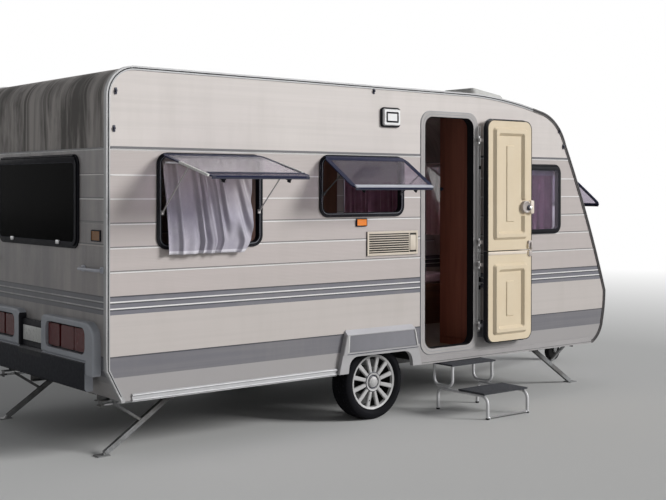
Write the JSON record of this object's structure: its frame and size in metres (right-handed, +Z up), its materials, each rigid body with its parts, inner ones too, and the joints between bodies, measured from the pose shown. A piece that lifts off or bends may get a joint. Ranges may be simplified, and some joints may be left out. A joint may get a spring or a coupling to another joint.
{
  "type": "travel caravan",
  "caption": "Single-axle travel caravan parked on its jockey wheel and corner steadies, with open stable door, propped windows and an entry step.",
  "frame": {"origin": "on the ground, on the centreline, under the middle of the axle", "axes": "+X forward to the coupling, +Y to the left side, +Z up; the door is on the right side, -Y"},
  "size_m": [6.355, 2.7598, 2.6535],
  "materials": {
    "panel_white": "satin",
    "moulding_grey": "satin",
    "bumper_grey": "satin",
    "alloy_trim": "brushed",
    "window_rubber": "satin",
    "window_acrylic": "tinted",
    "door_plastic": "moulded",
    "galvanised": "galvanised",
    "dark_steel": "worn paint",
    "tyre": "matt",
    "rim_alloy": "painted silver",
    "lens_red": "clear",
    "lens_amber": "clear",
    "lamp_white": "clear",
    "vent_plastic": "moulded",
    "roof_dome": "milky",
    "wood_dark": "veneer",
    "floor_board": "sealed",
    "upholstery": "woven",
    "curtain_sheer": "sheer",
    "curtain_mauve": "woven",
    "step_steel": "worn paint",
    "step_tube": "plated",
    "wheel_rubber": "matt",
    "inner_plastic": "matt"
  },
  "bodies": {
    "root": {"alloy_rails": "alloy_trim", "awning_lamp": "lamp_white", "axle": "galvanised", "chassis_rails": "galvanised", "coupling_head": "dark_steel", "cross_members": "galvanised", "curtain_rails": "alloy_trim", "curtain_rear_side": "curtain_sheer", "curtains": "curtain_mauve", "cushions": "upholstery", "door_frame": "alloy_trim", "door_hinge_plates": "alloy_trim", "drawbar_arms": "galvanised", "edge_trims": "alloy_trim", "floor": "floor_board", "front_valance": "panel_white", "front_wall": "panel_white", "grab_handles": "moulding_grey", "handbrake_lever": "dark_steel", "jockey_clamp": "galvanised", "kitchen_unit": "wood_dark", "locker_bulkhead": "floor_board", "rear_bumper": "bumper_grey", "rear_lamps": "lens_red", "rear_wall": "panel_white", "roof": "panel_white", "roof_vents": "roof_dome", "seat_boxes": "wood_dark", "side_markers": "lens_amber", "side_wall_left": "panel_white", "side_wall_right": "panel_white", "steady_brackets": "galvanised", "step_frame": "step_tube", "step_treads": "step_steel", "vent_grilles": "vent_plastic", "wall_beads": "panel_white", "wardrobe": "wood_dark", "wheel_arch_covers": "bumper_grey", "wheel_housings": "inner_plastic", "window_frames": "window_rubber", "window_panes": "window_acrylic", "window_stays": "alloy_trim"},
    "wheel_right": {"tyre_right": "tyre", "rim_right": "rim_alloy"},
    "wheel_left": {"tyre_left": "tyre", "rim_left": "rim_alloy"},
    "door_upper": {"door_upper": "door_plastic"},
    "door_lower": {"door_lower": "door_plastic"},
    "jockey_leg": {"jockey_leg": "galvanised"},
    "jockey_fork": {"jockey_fork": "galvanised"},
    "jockey_wheel": {"jockey_wheel": "wheel_rubber"},
    "locker_lid": {"locker_lid": "panel_white"},
    "leg_front_right": {"steady_leg_front_right": "galvanised"},
    "brace_front_right": {"steady_brace_front_right": "galvanised"},
    "leg_front_left": {"steady_leg_front_left": "galvanised"},
    "brace_front_left": {"steady_brace_front_left": "galvanised"},
    "leg_rear_right": {"steady_leg_rear_right": "galvanised"},
    "brace_rear_right": {"steady_brace_rear_right": "galvanised"},
    "leg_rear_left": {"steady_leg_rear_left": "galvanised"},
    "brace_rear_left": {"steady_brace_rear_left": "galvanised"}
  },
  "joints": [
    {"name": "wheel_right_spin", "type": "hinge", "parent": "root", "child": "wheel_right", "pos_m": [0, -0.912, 0.288], "axis": [0, 1, 0], "continuous": true},
    {"name": "wheel_left_spin", "type": "hinge", "parent": "root", "child": "wheel_left", "pos_m": [0, 0.912, 0.288], "axis": [0, 1, 0], "continuous": true},
    {"name": "door_upper_hinge", "type": "hinge", "parent": "root", "child": "door_upper", "pos_m": [1.059, -1.085, 1.81], "axis": [0, 0, -1], "range_deg": [0, 180]},
    {"name": "door_lower_hinge", "type": "hinge", "parent": "root", "child": "door_lower", "pos_m": [1.059, -1.085, 0.885], "axis": [0, 0, -1], "range_deg": [0, 180]},
    {"name": "jockey_slide", "type": "slide", "parent": "root", "child": "jockey_leg", "axis": [0, 0, 1], "range_m": [-0.11, 0.1]},
    {"name": "jockey_swivel", "type": "hinge", "parent": "jockey_leg", "child": "jockey_fork", "pos_m": [3.52, 0.215, 0.22], "axis": [0, 0, 1], "continuous": true},
    {"name": "jockey_spin", "type": "hinge", "parent": "jockey_fork", "child": "jockey_wheel", "pos_m": [3.485, 0.215, 0.09], "axis": [0, 1, 0], "continuous": true},
    {"name": "locker_lid_hinge", "type": "hinge", "parent": "root", "child": "locker_lid", "pos_m": [2.758, 0, 0.864], "axis": [0, -1, 0], "range_deg": [0, 95]},
    {"name": "leg_front_right_hinge", "type": "hinge", "parent": "root", "child": "leg_front_right", "pos_m": [2.049, -0.8, 0.34], "axis": [0, -1, 0], "range_deg": [0, 30]},
    {"name": "brace_front_right_hinge", "type": "hinge", "parent": "leg_front_right", "child": "brace_front_right", "pos_m": [2.25701, -0.8, 0.20132], "axis": [0, -1, 0], "range_deg": [-60, 0]},
    {"name": "leg_front_left_hinge", "type": "hinge", "parent": "root", "child": "leg_front_left", "pos_m": [2.049, 0.8, 0.34], "axis": [0, -1, 0], "range_deg": [0, 30]},
    {"name": "brace_front_left_hinge", "type": "hinge", "parent": "leg_front_left", "child": "brace_front_left", "pos_m": [2.25701, 0.8, 0.20132], "axis": [0, -1, 0], "range_deg": [-60, 0]},
    {"name": "leg_rear_right_hinge", "type": "hinge", "parent": "root", "child": "leg_rear_right", "pos_m": [-1.711, -0.8, 0.34], "axis": [0, 1, 0], "range_deg": [0, 30]},
    {"name": "brace_rear_right_hinge", "type": "hinge", "parent": "leg_rear_right", "child": "brace_rear_right", "pos_m": [-1.91901, -0.8, 0.20132], "axis": [0, 1, 0], "range_deg": [-60, 0]},
    {"name": "leg_rear_left_hinge", "type": "hinge", "parent": "root", "child": "leg_rear_left", "pos_m": [-1.711, 0.8, 0.34], "axis": [0, 1, 0], "range_deg": [0, 30]},
    {"name": "brace_rear_left_hinge", "type": "hinge", "parent": "leg_rear_left", "child": "brace_rear_left", "pos_m": [-1.91901, 0.8, 0.20132], "axis": [0, 1, 0], "range_deg": [-60, 0]}
  ],
  "couplings": [
    {"joint": "brace_front_right_hinge", "follows": "leg_front_right_hinge", "ratio": -2},
    {"joint": "brace_front_left_hinge", "follows": "leg_front_left_hinge", "ratio": -2},
    {"joint": "brace_rear_right_hinge", "follows": "leg_rear_right_hinge", "ratio": -2},
    {"joint": "brace_rear_left_hinge", "follows": "leg_rear_left_hinge", "ratio": -2}
  ]
}
